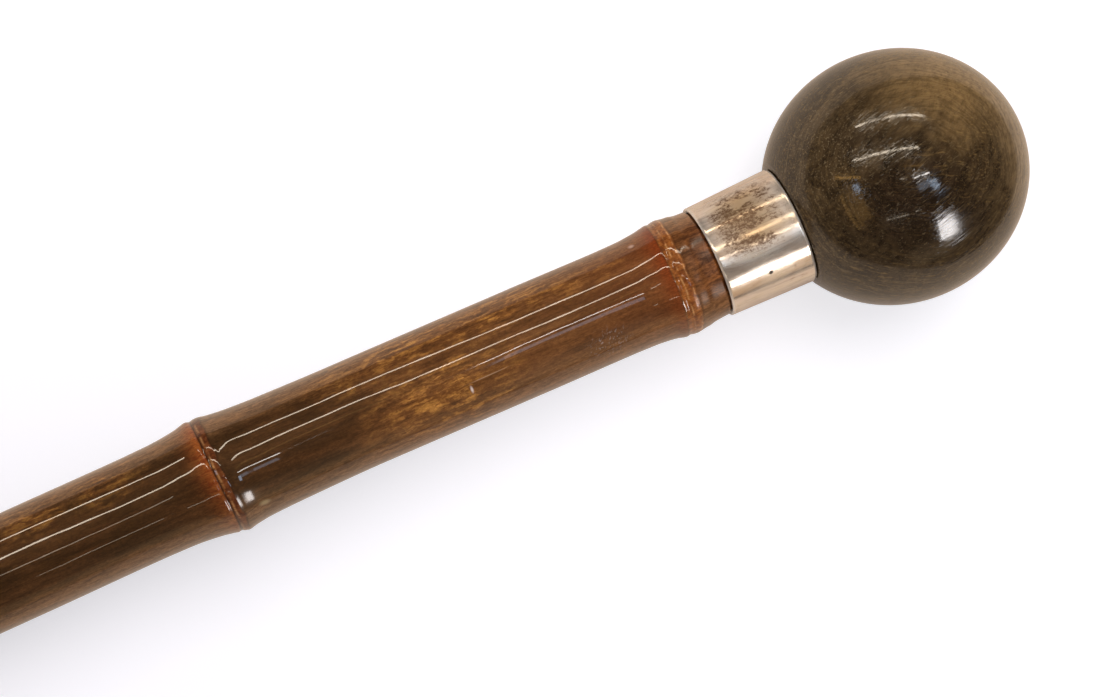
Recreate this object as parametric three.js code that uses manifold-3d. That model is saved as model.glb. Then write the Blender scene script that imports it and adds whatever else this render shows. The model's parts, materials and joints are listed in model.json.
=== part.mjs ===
// A walking stick: a horn ball handle, a silver collar, a bamboo shaft and a brass ferrule.
// Millimetres. The stick lies on a table, with +X from its tip to its handle and +Z up.
// Places along the stick are measured from the flat end of the tip.
import * as THREE from "three";
import { mergeVertices } from "three/addons/utils/BufferGeometryUtils.js";
import Module from "manifold-3d";

// Whole stick
const STICK_LENGTH = 889; // from the flat of the tip to the far side of the ball
const GLUE_GAP = 0.3; // between pieces that are glued, pressed or screwed together
const CUT_OVERRUN = 1; // how far a cutter runs past the wall that it cuts

// Horn ball, a little longer along the stick than across it
const BALL_WIDTH = 45.8;
const BALL_LENGTH = 48.7;
const SEAT_BEYOND_COLLAR = 0.93; // rim of the small flat that the collar meets
const BALL_BORE_DEPTH = 22;

// Steel stud between ball and shaft
const STUD_DIAMETER = 5;
const STUD_CHAMFER = 0.6;
const STUD_DEPTH_IN_SHAFT = 40;

// Silver collar
const COLLAR_LENGTH = 16.35;
const COLLAR_HANDLE_DIAMETER = 21.8;
const COLLAR_SHAFT_DIAMETER = 20.8;
const COLLAR_WALL = 0.5;
const COLLAR_EDGE = 0.12; // softened edge of both rims

// Pins of the collar and the ferrule
const PIN_DEPTH_SHARE = 0.78; // of the way from a sleeve's outside to the plug under it
const COLLAR_PIN_DIAMETER = 0.8;
const COLLAR_PIN_ANGLE = THREE.MathUtils.degToRad(36); // from the top, towards -Y
const FERRULE_PIN_DIAMETER = 1.2;
const FERRULE_PIN_FROM_TOP = 7;

// Bamboo culm
const CULM_HANDLE_DIAMETER = 19.75; // of the internodes next to the handle
const CULM_TIP_DIAMETER = 14; // at the ferrule
const TAPER_POWER = 1.5; // the culm keeps its girth near the handle and loses it towards the tip
const FIRST_NODE_FROM_COLLAR = 6.3; // to the crest
const FIRST_INTERNODE = 87.9;
const INTERNODE_GROWTH = 5.5; // each internode is this much longer than the one above it
const NODE_RISE = 1.2; // crest of a node over the internode
const FIRST_NODE_RISE = 0.9; // the first node is dressed down to clear the collar
const RIDGE_REACH = 2.5; // crest, scar groove and lip, to each side of the crest
const FLARE_REACH = 35.5; // on from there towards the tip
const FIRST_FLARE_REACH = 26;
const SWELL_REACH = 24; // on from there towards the handle
const HANDLE_ANGLE = THREE.MathUtils.degToRad(0.66); // of the handle to the line of the whole stick
const KINK_ANGLE = THREE.MathUtils.degToRad(1.18); // change of direction from internode to internode
const KINK_REACH = 4; // the change is spread over this much to each side of the crest
const NODE_LEAN = 0.25; // a swelling stands out more on the side of its bud, by turns
const NODE_SLANT = THREE.MathUtils.degToRad(2); // of a crest to the square section of the culm
const LAST_STUMP_SHARE = 0.3; // the least that is left of the last internode, below the last node
const FLARE_ROOM_SHARE = 0.9; // the most of that stump that the last node's flare takes

// Hardwood plugs in the bored ends of the culm
const TOP_PLUG_DIAMETER = 11.4;
const TOP_PLUG_LENGTH = 50;
const TIP_PLUG_DIAMETER = 6.4;
const TIP_PLUG_LENGTH = 42;
const PLUG_CHAMFER = 0.8;

// Brass ferrule with a steel end
const FERRULE_LENGTH = 32;
const FERRULE_TOP_DIAMETER = 15.2;
const FERRULE_END_DIAMETER = 14.2;
const FERRULE_WALL = 0.55;
const FERRULE_EDGE = 0.15;
const TIP_THICKNESS = 3.5; // of the steel end, below the brass
const TIP_RIM_ROUND = 0.8;
const TIP_SPIGOT_LENGTH = 6;
const TIP_SPIGOT_CHAMFER = 0.5;

// Facets
const BALL_SIDES = 48;
const BALL_RINGS = 26;
const COLLAR_SIDES = 48;
const CULM_SIDES = 32;
const ROD_SIDES = 24;
const PIN_SIDES = 12;
const ROUND_STEPS = 3;

// Outlines, as shares of the sizes that they follow: [along, rise]. Along runs from the tip to the
// handle; shares of a reach towards the tip are negative.
const FLARE_SHARES = [
  [-1, 0],
  [-0.4, -0.08],
  [-0.22, 0],
  [-0.165, 0.08],
  [-0.128, 0.18],
  [-0.058, 0.43],
  [-0.015, 0.7],
];
const RIDGE_SHARES = [
  [-0.98, 0.81],
  [-0.8, 0.87],
  [-0.56, 0.75],
  [-0.3, 0.92],
  [0, 1],
  [0.22, 0.94],
  [0.5, 0.8],
  [1, 0.64],
];
const SWELL_SHARES = [
  [0.1, 0.43],
  [0.35, 0.21],
  [1, 0],
];
const STUB_SWELL_SHARES = [
  [0.25, 0.4],
  [0.6, 0.26],
  [1, 0.18],
];

// Places along the stick
const ballRadius = BALL_WIDTH / 2;
const ballHalfLength = BALL_LENGTH / 2;
const ballCentreX = STICK_LENGTH - ballHalfLength;
const seatRadius = COLLAR_HANDLE_DIAMETER / 2 + SEAT_BEYOND_COLLAR;
const seatAngle = Math.PI - Math.asin(seatRadius / ballRadius); // round the ball, from its far end
const seatX = ballCentreX + ballHalfLength * Math.cos(seatAngle);
const collarTopX = seatX - GLUE_GAP;
const collarEndX = collarTopX - COLLAR_LENGTH;
const culmTopX = collarTopX;
const ferruleEndX = TIP_THICKNESS + GLUE_GAP;
const ferruleTopX = ferruleEndX + FERRULE_LENGTH;
const culmEndX = TIP_THICKNESS + TIP_SPIGOT_LENGTH + GLUE_GAP;
const topShoulderX = collarEndX - GLUE_GAP;
const tipShoulderX = ferruleTopX + GLUE_GAP;

const wasm = await Module();
wasm.setup();

// Places of the nodes, from the handle to the tip.
function nodePlaces() {
  const places = [];
  let x = collarEndX - FIRST_NODE_FROM_COLLAR;
  let internode = FIRST_INTERNODE;
  while (x - LAST_STUMP_SHARE * internode > tipShoulderX) {
    places.push(x);
    x -= internode;
    internode += INTERNODE_GROWTH;
  }
  return places;
}
const nodes = nodePlaces();

// The handle's straight stretch and the internodes lean to the left and right by turns.
const sideOf = (k) => (k % 2 ? -1 : 1);
const headingOfStretch = (k) => (k ? (sideOf(k) * KINK_ANGLE) / 2 : HANDLE_ANGLE);

// 0 before a node, the distance past it after the node, and a smooth bend between.
function rampPast(distance) {
  if (distance <= -KINK_REACH) return 0;
  if (distance >= KINK_REACH) return distance;
  const t = (distance + KINK_REACH) / (2 * KINK_REACH);
  return 2 * KINK_REACH * (t ** 3 - t ** 4 / 2);
}

// How far the culm's centre line lies to the side of a straight line from the ball's centre.
function swayAt(x) {
  let sway = (x - ballCentreX) * Math.tan(headingOfStretch(0));
  nodes.forEach((nodeX, k) => {
    const turn = Math.tan(headingOfStretch(k + 1)) - Math.tan(headingOfStretch(k));
    sway -= turn * rampPast(nodeX - x);
  });
  return sway;
}

function headingAt(x) {
  const step = KINK_REACH / ROUND_STEPS;
  return Math.atan((swayAt(x + step) - swayAt(x - step)) / (2 * step));
}

// How far the culm's section lies towards the buds. The first node, dressed down, has none.
function leanAt(x) {
  return nodes.slice(1).reduce((lean, nodeX, k) => {
    const reach = x > nodeX ? RIDGE_REACH + SWELL_REACH : RIDGE_REACH;
    const near = Math.max(0, 1 - Math.abs(x - nodeX) / reach);
    return lean - sideOf(k) * NODE_LEAN * near;
  }, 0);
}

// Slope of the culm's section along the stick: a crest is slanted, left and right by turns.
function slantAt(x) {
  return nodes.reduce((slant, nodeX, k) => {
    const near = THREE.MathUtils.clamp(2 - Math.abs(x - nodeX) / RIDGE_REACH, 0, 1);
    return slant + sideOf(k) * Math.tan(NODE_SLANT) * near;
  }, 0);
}

// Radius of the culm between its nodes.
function internodeRadius(x) {
  const share = (topShoulderX - x) / (topShoulderX - tipShoulderX);
  const taper = THREE.MathUtils.clamp(share, 0, 1) ** TAPER_POWER;
  return THREE.MathUtils.lerp(CULM_HANDLE_DIAMETER, CULM_TIP_DIAMETER, taper) / 2;
}

function nodeRise(k) {
  const girth = (2 * internodeRadius(nodes[k])) / CULM_HANDLE_DIAMETER;
  return (k ? NODE_RISE : FIRST_NODE_RISE) * girth;
}

// Outline of one node, from the tip side to the handle side, as [place, radius].
function nodeOutline(k) {
  const crest = nodes[k];
  const point = (along, rise) => [
    crest + along,
    internodeRadius(crest + along) + rise * nodeRise(k),
  ];
  const stump = crest - RIDGE_REACH - tipShoulderX;
  const flareRoom = Math.min(k ? FLARE_REACH : FIRST_FLARE_REACH, FLARE_ROOM_SHARE * stump);
  const swellRoom = k ? SWELL_REACH : topShoulderX - crest - RIDGE_REACH;
  const swell = k ? SWELL_SHARES : STUB_SWELL_SHARES;
  return [
    ...FLARE_SHARES.map(([along, rise]) => point(along * flareRoom - RIDGE_REACH, rise)),
    ...RIDGE_SHARES.map(([along, rise]) => point(along * RIDGE_REACH, rise)),
    ...swell.map(([along, rise]) => point(RIDGE_REACH + along * swellRoom, rise)),
  ];
}

// Outside of the culm between its two shoulders, from the tip to the handle.
function culmSkin() {
  const skin = [[tipShoulderX, internodeRadius(tipShoulderX)]];
  for (let k = nodes.length - 1; k >= 0; k--) skin.push(...nodeOutline(k));
  return skin;
}

// Outer radius of a tapered sleeve at a place along it.
function taperedRadius(x, endX, endDiameter, topX, topDiameter) {
  return THREE.MathUtils.mapLinear(x, endX, topX, endDiameter, topDiameter) / 2;
}
const collarRadius = (x) =>
  taperedRadius(x, collarEndX, COLLAR_SHAFT_DIAMETER, collarTopX, COLLAR_HANDLE_DIAMETER);
const ferruleRadius = (x) =>
  taperedRadius(x, ferruleEndX, FERRULE_END_DIAMETER, ferruleTopX, FERRULE_TOP_DIAMETER);
const collarTenon = (x) => collarRadius(x) - COLLAR_WALL - GLUE_GAP;
const ferruleTenon = (x) => ferruleRadius(x) - FERRULE_WALL - GLUE_GAP;

// Revolves an outline of [place, radius] points about the stick's axis, a flat side down.
function revolve(outline, sides) {
  const points = outline.map(([x, radius]) => new THREE.Vector2(radius, x));
  const geometry = new THREE.LatheGeometry(points, sides, Math.PI / sides);
  geometry.rotateZ(-Math.PI / 2);
  geometry.deleteAttribute("normal");
  geometry.deleteAttribute("uv");
  return mergeVertices(geometry, GLUE_GAP / 1000);
}

// Moves a straight geometry onto the culm's centre line, each section square to it.
function followCulm(geometry) {
  const place = geometry.getAttribute("position");
  for (let i = 0; i < place.count; i++) {
    const straightX = place.getX(i);
    const x = straightX + slantAt(straightX) * place.getY(i);
    const y = place.getY(i) + leanAt(straightX);
    const heading = headingAt(x);
    const bentX = x - y * Math.sin(heading);
    place.setXYZ(i, bentX, swayAt(x) + y * Math.cos(heading), place.getZ(i));
  }
  return geometry;
}

function solidOf(geometry) {
  return new wasm.Manifold(
    new wasm.Mesh({
      numProp: 3,
      vertProperties: geometry.getAttribute("position").array,
      triVerts: new Uint32Array(geometry.index.array),
    }),
  );
}

function geometryOf(solid) {
  const { vertProperties, triVerts } = solid.getMesh();
  return new THREE.BufferGeometry()
    .setAttribute("position", new THREE.BufferAttribute(vertProperties, 3))
    .setIndex(new THREE.BufferAttribute(triVerts, 1));
}

const cut = (geometry, cutter) => geometryOf(solidOf(geometry).subtract(solidOf(cutter)));

// A quarter round between two places and radii, as outline points without its first one.
function quarterRound(fromX, fromRadius, toX, toRadius, bulgesAlong) {
  return Array.from({ length: ROUND_STEPS }, (_, i) => {
    const angle = ((i + 1) / ROUND_STEPS) * (Math.PI / 2);
    const early = Math.sin(angle);
    const late = 1 - Math.cos(angle);
    const [shareX, shareRadius] = bulgesAlong ? [early, late] : [late, early];
    return [
      THREE.MathUtils.lerp(fromX, toX, shareX),
      THREE.MathUtils.lerp(fromRadius, toRadius, shareRadius),
    ];
  });
}

// A round bar between two places, chamfered at both ends.
function bar(fromX, toX, radius, chamfer, sides) {
  const outline = [
    [fromX, 0],
    [fromX, radius - chamfer],
    [fromX + chamfer, radius],
    [toX - chamfer, radius],
    [toX, radius - chamfer],
    [toX, 0],
  ];
  return revolve(outline, sides);
}

// A tube along the stick: its outside goes to the handle and its inside comes back.
function sleeve(endX, topX, outerRadius, wall, edge, sides) {
  const at = (x, inset) => [x, outerRadius(x) - inset];
  const outline = [
    at(endX, edge),
    at(endX + edge, 0),
    at(topX - edge, 0),
    at(topX, edge),
    at(topX, wall),
    at(endX, wall),
    at(endX, edge),
  ];
  return revolve(outline, sides);
}

const studRadius = STUD_DIAMETER / 2;
const ballBoreRadius = studRadius + GLUE_GAP;
const ballBoreEndX = seatX + BALL_BORE_DEPTH;
const studEndX = culmTopX - STUD_DEPTH_IN_SHAFT;

// The egg-like ball, cut off at its seat and bored for the stud.
function ballGeometry() {
  const outline = [
    [ballBoreEndX, 0],
    [ballBoreEndX, ballBoreRadius],
    [seatX, ballBoreRadius],
  ];
  for (let ring = 0; ring < BALL_RINGS; ring++) {
    const angle = seatAngle * (1 - ring / BALL_RINGS);
    outline.push([
      ballCentreX + ballHalfLength * Math.cos(angle),
      ballRadius * Math.sin(angle),
    ]);
  }
  outline.push([STICK_LENGTH, 0]);
  return revolve(outline, BALL_SIDES);
}

function studGeometry() {
  return bar(studEndX, ballBoreEndX - GLUE_GAP, studRadius, STUD_CHAMFER, ROD_SIDES);
}

const topPlugRadius = TOP_PLUG_DIAMETER / 2;
const tipPlugRadius = TIP_PLUG_DIAMETER / 2;

// A pin from a sleeve's outside towards the plug, or the hole for it where a gap and an overrun
// are given.
function pinGeometry(pinDiameter, headX, headRadius, plugRadius, angle, gap, overrun) {
  const radius = pinDiameter / 2 + gap;
  const length = PIN_DEPTH_SHARE * (headRadius - plugRadius) + gap;
  const pin = new THREE.CylinderGeometry(radius, radius, length + overrun, PIN_SIDES);
  pin.deleteAttribute("normal");
  pin.deleteAttribute("uv");
  pin.rotateX(Math.PI / 2);
  pin.translate(0, 0, headRadius - (length - overrun) / 2);
  pin.rotateX(angle);
  pin.translate(headX, 0, 0);
  return mergeVertices(pin, GLUE_GAP / 1000);
}

const collarPinX = (collarEndX + collarTopX) / 2;
const ferrulePinX = ferruleTopX - FERRULE_PIN_FROM_TOP;

function collarPinGeometry(gap, overrun) {
  const head = collarRadius(collarPinX);
  const size = [COLLAR_PIN_DIAMETER, collarPinX, head, topPlugRadius, COLLAR_PIN_ANGLE];
  return pinGeometry(...size, gap, overrun);
}

function ferrulePinGeometry(gap, overrun) {
  const size = [FERRULE_PIN_DIAMETER, ferrulePinX, ferruleRadius(ferrulePinX), tipPlugRadius, 0];
  return pinGeometry(...size, gap, overrun);
}

function collarGeometry() {
  const tube = sleeve(
    collarEndX,
    collarTopX,
    collarRadius,
    COLLAR_WALL,
    COLLAR_EDGE,
    COLLAR_SIDES,
  );
  return cut(tube, collarPinGeometry(GLUE_GAP, CUT_OVERRUN));
}

const topPlugEndX = culmTopX - TOP_PLUG_LENGTH;
const tipPlugTopX = culmEndX + TIP_PLUG_LENGTH;

// The plug in the culm's top, bored for the stud.
function topPlugGeometry() {
  const boreRadius = studRadius + GLUE_GAP;
  const boreEndX = studEndX - GLUE_GAP;
  const outline = [
    [topPlugEndX, 0],
    [topPlugEndX, topPlugRadius - PLUG_CHAMFER],
    [topPlugEndX + PLUG_CHAMFER, topPlugRadius],
    [culmTopX, topPlugRadius],
    [culmTopX, boreRadius],
    [boreEndX, boreRadius],
    [boreEndX, 0],
  ];
  return revolve(outline, ROD_SIDES);
}

function tipPlugGeometry() {
  return bar(culmEndX, tipPlugTopX, tipPlugRadius, PLUG_CHAMFER, ROD_SIDES);
}

// The culm: a bored tenon at each end and the ringed bamboo between the shoulders.
function culmGeometry() {
  const tipBoreRadius = tipPlugRadius + GLUE_GAP;
  const topBoreRadius = topPlugRadius + GLUE_GAP;
  const outline = [
    [tipPlugTopX + GLUE_GAP, 0],
    [tipPlugTopX + GLUE_GAP, tipBoreRadius],
    [culmEndX, tipBoreRadius],
    [culmEndX, ferruleTenon(culmEndX)],
    [tipShoulderX, ferruleTenon(tipShoulderX)],
    ...culmSkin(),
    [topShoulderX, collarTenon(topShoulderX)],
    [culmTopX, collarTenon(culmTopX)],
    [culmTopX, topBoreRadius],
    [topPlugEndX - GLUE_GAP, topBoreRadius],
    [topPlugEndX - GLUE_GAP, 0],
  ];
  return [collarPinGeometry, ferrulePinGeometry]
    .map((hole) => hole(GLUE_GAP, CUT_OVERRUN))
    .reduce(cut, revolve(outline, CULM_SIDES));
}

function ferruleGeometry() {
  const tube = sleeve(
    ferruleEndX,
    ferruleTopX,
    ferruleRadius,
    FERRULE_WALL,
    FERRULE_EDGE,
    CULM_SIDES,
  );
  return cut(tube, ferrulePinGeometry(GLUE_GAP, CUT_OVERRUN));
}

// The steel end: a round-edged disc, with a spigot up into the brass sleeve.
function tipGeometry() {
  const radius = FERRULE_END_DIAMETER / 2;
  const spigotTopX = TIP_THICKNESS + TIP_SPIGOT_LENGTH;
  const spigotRadius = ferruleTenon(ferruleEndX);
  const outline = [
    [0, 0],
    [0, radius - TIP_RIM_ROUND],
    ...quarterRound(0, radius - TIP_RIM_ROUND, TIP_RIM_ROUND, radius, false),
    [TIP_THICKNESS, radius],
    [TIP_THICKNESS, spigotRadius],
    [spigotTopX - TIP_SPIGOT_CHAMFER, spigotRadius],
    [spigotTopX, spigotRadius - TIP_SPIGOT_CHAMFER],
    [spigotTopX, 0],
  ];
  return revolve(outline, CULM_SIDES);
}

// Angle between the stick's axis and the table, with the ball and the lower end both touching it.
function restingTilt() {
  const flatShare = (sides) => Math.cos(Math.PI / sides);
  const outside = [
    [TIP_RIM_ROUND, FERRULE_END_DIAMETER / 2],
    [ferruleTopX - FERRULE_EDGE, ferruleRadius(ferruleTopX - FERRULE_EDGE)],
    ...culmSkin(),
  ];
  const ballFoot = ballRadius * flatShare(BALL_SIDES);
  const tilts = outside.map(([x, radius]) =>
    Math.asin((ballFoot - radius * flatShare(CULM_SIDES)) / (ballCentreX - x)),
  );
  return Math.min(...tilts);
}

const PALETTE = {
  horn: { color: 0x4a3826, roughness: 0.18, metalness: 0 },
  silver: { color: 0xb59a80, roughness: 0.34, metalness: 1 },
  bamboo: { color: 0x6d4023, roughness: 0.22, metalness: 0 },
  steel: { color: 0x8c8f92, roughness: 0.4, metalness: 1 },
  brass: { color: 0xb08d4a, roughness: 0.35, metalness: 1 },
  hardwood: { color: 0x8a6b46, roughness: 0.7, metalness: 0 },
};

function piece(name, material, geometry) {
  const mesh = new THREE.Mesh(
    followCulm(geometry),
    new THREE.MeshStandardMaterial({ ...PALETTE[material], flatShading: true }),
  );
  mesh.name = name;
  return mesh;
}

const handle = new THREE.Group().add(
  piece("ball_handle", "horn", ballGeometry()),
  piece("handle_stud", "steel", studGeometry()),
  piece("collar", "silver", collarGeometry()),
  piece("collar_pin", "steel", collarPinGeometry(0, 0)),
);

const shaft = new THREE.Group().add(
  piece("top_plug", "hardwood", topPlugGeometry()),
  piece("culm", "bamboo", culmGeometry()),
  piece("tip_plug", "hardwood", tipPlugGeometry()),
);

const foot = new THREE.Group().add(
  piece("ferrule", "brass", ferruleGeometry()),
  piece("ferrule_pin", "brass", ferrulePinGeometry(0, 0)),
  piece("ferrule_tip", "steel", tipGeometry()),
);

// The stick is laid down, and its frame is put at the middle of its footprint, on the table.
function laidDown(stick) {
  stick.rotation.y = -restingTilt();
  const box = new THREE.Box3().setFromObject(stick, true);
  const middle = box.getCenter(new THREE.Vector3());
  stick.position.set(-middle.x, -middle.y, -box.min.z);
  return stick;
}

export default laidDown(new THREE.Group().add(handle, shaft, foot));
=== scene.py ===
"""A walking stick with a horn ball handle, a silver collar and a bamboo shaft, lying on a white table."""

import json
import math
from collections import namedtuple

import bpy
import numpy as np
from mathutils import Matrix, Vector


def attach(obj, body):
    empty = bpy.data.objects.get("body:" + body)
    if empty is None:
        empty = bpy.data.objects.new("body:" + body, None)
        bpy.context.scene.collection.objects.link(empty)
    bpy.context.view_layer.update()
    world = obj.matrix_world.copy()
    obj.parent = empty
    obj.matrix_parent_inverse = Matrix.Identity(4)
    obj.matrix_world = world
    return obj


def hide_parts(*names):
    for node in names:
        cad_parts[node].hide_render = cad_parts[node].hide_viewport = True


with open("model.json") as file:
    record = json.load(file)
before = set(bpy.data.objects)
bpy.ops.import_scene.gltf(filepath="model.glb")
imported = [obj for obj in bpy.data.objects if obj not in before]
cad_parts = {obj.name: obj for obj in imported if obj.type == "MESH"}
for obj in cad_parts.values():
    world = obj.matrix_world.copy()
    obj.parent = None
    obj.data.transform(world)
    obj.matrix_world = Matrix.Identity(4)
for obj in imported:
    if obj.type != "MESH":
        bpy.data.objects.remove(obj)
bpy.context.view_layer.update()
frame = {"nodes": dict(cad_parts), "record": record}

MM = 0.001

# Sizes in millimetres, the same as the solids'
STICK_LENGTH = 889
GLUE_GAP = 0.3
BALL_WIDTH = 45.8
BALL_LENGTH = 48.7
SEAT_BEYOND_COLLAR = 0.93
BALL_BORE_DEPTH = 22
STUD_DIAMETER = 5
COLLAR_LENGTH = 16.35
COLLAR_HANDLE_DIAMETER = 21.8
COLLAR_SHAFT_DIAMETER = 20.8
COLLAR_WALL = 0.5
COLLAR_PIN_DIAMETER = 0.8
COLLAR_PIN_ANGLE = math.radians(36)
CULM_HANDLE_DIAMETER = 19.75
CULM_TIP_DIAMETER = 14
TAPER_POWER = 1.5
FIRST_NODE_FROM_COLLAR = 6.3
FIRST_INTERNODE = 87.9
INTERNODE_GROWTH = 5.5
NODE_RISE = 1.2
FIRST_NODE_RISE = 0.9
RIDGE_REACH = 2.5
FLARE_REACH = 35.5
FIRST_FLARE_REACH = 26
SWELL_REACH = 24
HANDLE_ANGLE = math.radians(0.66)
KINK_ANGLE = math.radians(1.18)
KINK_REACH = 4
NODE_LEAN = 0.25
NODE_SLANT = math.radians(2)
LAST_STUMP_SHARE = 0.3
FLARE_ROOM_SHARE = 0.9
TOP_PLUG_DIAMETER = 11.4
TOP_PLUG_LENGTH = 50
TIP_PLUG_DIAMETER = 6.4
TIP_PLUG_LENGTH = 42
FERRULE_LENGTH = 32
FERRULE_TOP_DIAMETER = 15.2
FERRULE_END_DIAMETER = 14.2
FERRULE_WALL = 0.55
FERRULE_PIN_DIAMETER = 1.2
FERRULE_PIN_FROM_TOP = 7
TIP_THICKNESS = 3.5
TIP_RIM_ROUND = 0.8
TIP_SPIGOT_LENGTH = 6

# A node's outline, as shares of the reaches and the rise: towards the tip is negative
FLARE_SHARES = [
    (-1, 0), (-0.4, -0.08), (-0.22, 0), (-0.165, 0.08), (-0.128, 0.18), (-0.058, 0.43), (-0.015, 0.7),
]
RIDGE_SHARES = [
    (-0.98, 0.81), (-0.8, 0.87), (-0.56, 0.75), (-0.3, 0.92), (0, 1), (0.22, 0.94), (0.5, 0.8), (1, 0.64),
]
SWELL_SHARES = [(0.1, 0.43), (0.35, 0.21), (1, 0)]
STUB_SWELL_SHARES = [(0.25, 0.4), (0.6, 0.26), (1, 0.18)]

# Unevenness of the visible pieces: how far it reaches in millimetres, how many waves it is made of
# round the stick, and which of them is the strongest. The ragged line is used in shares of its own 1.
COLLAR_SWELL = (0.045, 28, 12)
FERRULE_SWELL = (0.02, 9, 4)
CULM_SWELL = (0.05, 5, 2)
NODE_WOBBLE = (0.22, 4, 2)
NODE_RAGGED_LINE = (1, 30, 14)

# Edges and ends of the visible pieces
COLLAR_EDGE = 0.14
FERRULE_EDGE = 0.15
TIP_EDGE = 0.15
TIP_RIM_STEPS = 9
PIN_LENGTH = 4
PIN_DOME_SHARE = 0.06  # height of a pin's domed head, of its diameter
PIN_DOME_STEPS = 6
PIN_END_RADIUS = 0.0001  # both ends of a pin run together to this

# How finely the pieces are divided: sides go round the stick, rings follow it
BALL_SIDES = 256
BALL_RINGS = 190
COLLAR_SIDES = 288
COLLAR_RINGS = 40
CULM_SIDES = 128
CULM_RINGS = 420
NODE_RINGS = 110
RIDGE_RINGS = 41
FERRULE_SIDES = 192
FERRULE_RINGS = 60
PIN_SIDES = 32

# Tarnish lies on the upper side of the collar, where the fade times the cosine of the angle from its
# middle is past the start, and a bright glint is painted along the collar's rims
TARNISH_ANGLE = math.radians(-26)  # from the top, towards -Y
TARNISH_FADE = 5
TARNISH_START = 3.6
PAINTED_GLINT_RIM_WIDTH = 0.45
PAINTED_GLINT_RIM_STRENGTH = 0.8

# A node's marks on the culm. Places and widths are shares of the ridge's reach from its crest:
# the smooth ridge starts and stops there, and its edge towards the handle is soft. The glow fades
# away from the ridge towards the tip. Painted glints, thin light lines, run round the ridge, with
# a dark groove at each side of it. The dent is one in the lacquer, and the lumps stand out by so many
# millimetres.
NodeMarks = namedtuple(
    "NodeMarks",
    "start stop soft_edge ridge glow glow_reach lines line line_width start_groove stop_groove dent lumps",
)
FIRST_NODE_MARKS = NodeMarks(
    start=-0.86, stop=0.34, soft_edge=0.2, ridge=0.66,
    glow=0.35, glow_reach=10, lines=(-0.36, 0.14), line=0.8, line_width=0.055,
    start_groove=0.25, stop_groove=0.3, dent=0, lumps=0.04,
)
NODE_MARKS = NodeMarks(
    start=-0.56, stop=0.1, soft_edge=0.08, ridge=0.92,
    glow=0.28, glow_reach=3, lines=(-0.36,), line=0.5, line_width=0.07,
    start_groove=0.85, stop_groove=0.55, dent=1, lumps=0.02,
)
NEAR_GLOW = 0.65
NEAR_GLOW_REACH = 2.3  # in millimetres
START_EDGE_SHARE = 0.1
RAGGED_EDGE_SHARE = 0.1
RAGGED_GLINT_SHARE = 0.03
GROOVE_SHARE = 0.07
DENT_AT_SHARE = 1.04
DENT_SHARE = 0.64

# Places along the stick, from the flat of the tip
ball_centre_x = STICK_LENGTH - BALL_LENGTH / 2
seat_radius = COLLAR_HANDLE_DIAMETER / 2 + SEAT_BEYOND_COLLAR
seat_angle = math.pi - math.asin(2 * seat_radius / BALL_WIDTH)
seat_x = ball_centre_x + BALL_LENGTH / 2 * math.cos(seat_angle)
collar_top_x = seat_x - GLUE_GAP
collar_end_x = collar_top_x - COLLAR_LENGTH
ferrule_end_x = TIP_THICKNESS + GLUE_GAP
ferrule_top_x = ferrule_end_x + FERRULE_LENGTH
culm_end_x = TIP_THICKNESS + TIP_SPIGOT_LENGTH + GLUE_GAP
top_shoulder_x = collar_end_x - GLUE_GAP
tip_shoulder_x = ferrule_top_x + GLUE_GAP

# The photograph
PHOTO_SIZE_PX = (1100, 697)
BALL_CENTRE_PX = (895.1, 176.7)
FOCAL_LENGTH_PX = 3600
MM_PER_PX = 0.18
STICK_ANGLE = math.radians(23.93)  # of the stick's mean line in the picture
VIEW_TILT = math.radians(7.35)  # from straight down, towards the handle
SENSOR_WIDTH = 36


def paint(red, green, blue):
    """A display colour, 0 to 255, as the linear colour that shows as it."""
    shares = np.array([red, green, blue]) / 255
    linear = np.where(shares < 0.04045, shares / 12.92, ((shares + 0.055) / 1.055) ** 2.4)
    return tuple(float(share) for share in linear)


# The table and the room, with strengths at which 1 shows white
TABLE_PAPER = (paint(205, 203, 209), paint(208, 206, 212))
TABLE_LIFT = (0.46, 0.61)  # deeper shadows towards the tip, over this stretch in X
LIFT_FROM_X, LIFT_TO_X = 220, 410
TABLE_IN_GLOSS = paint(205, 180, 150)
TABLE_LIFT_IN_GLOSS = 0.16
TABLE_EDGE_FROM_BALL = 95  # the white ends there, outside the picture
TABLE_EDGE_BLUR = 4
TABLE_HALF = 1500
PAST_TABLE_IN_GLOSS = 0.042
WORLD_LIGHT = 0.55
WORLD_COLOUR = (0.93, 0.92, 1.0)
ROOM_IN_GLOSS = 0.07
ROOM_COLOUR = (1, 0.7, 0.4)
BRIGHT_SIDE = (0.0, -0.995, 0.1)
BRIGHT_SIDE_FROM = 0.94  # cosine of the angle from the middle of that side
BRIGHT_SIDE_IN_GLOSS = 0.6

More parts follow.
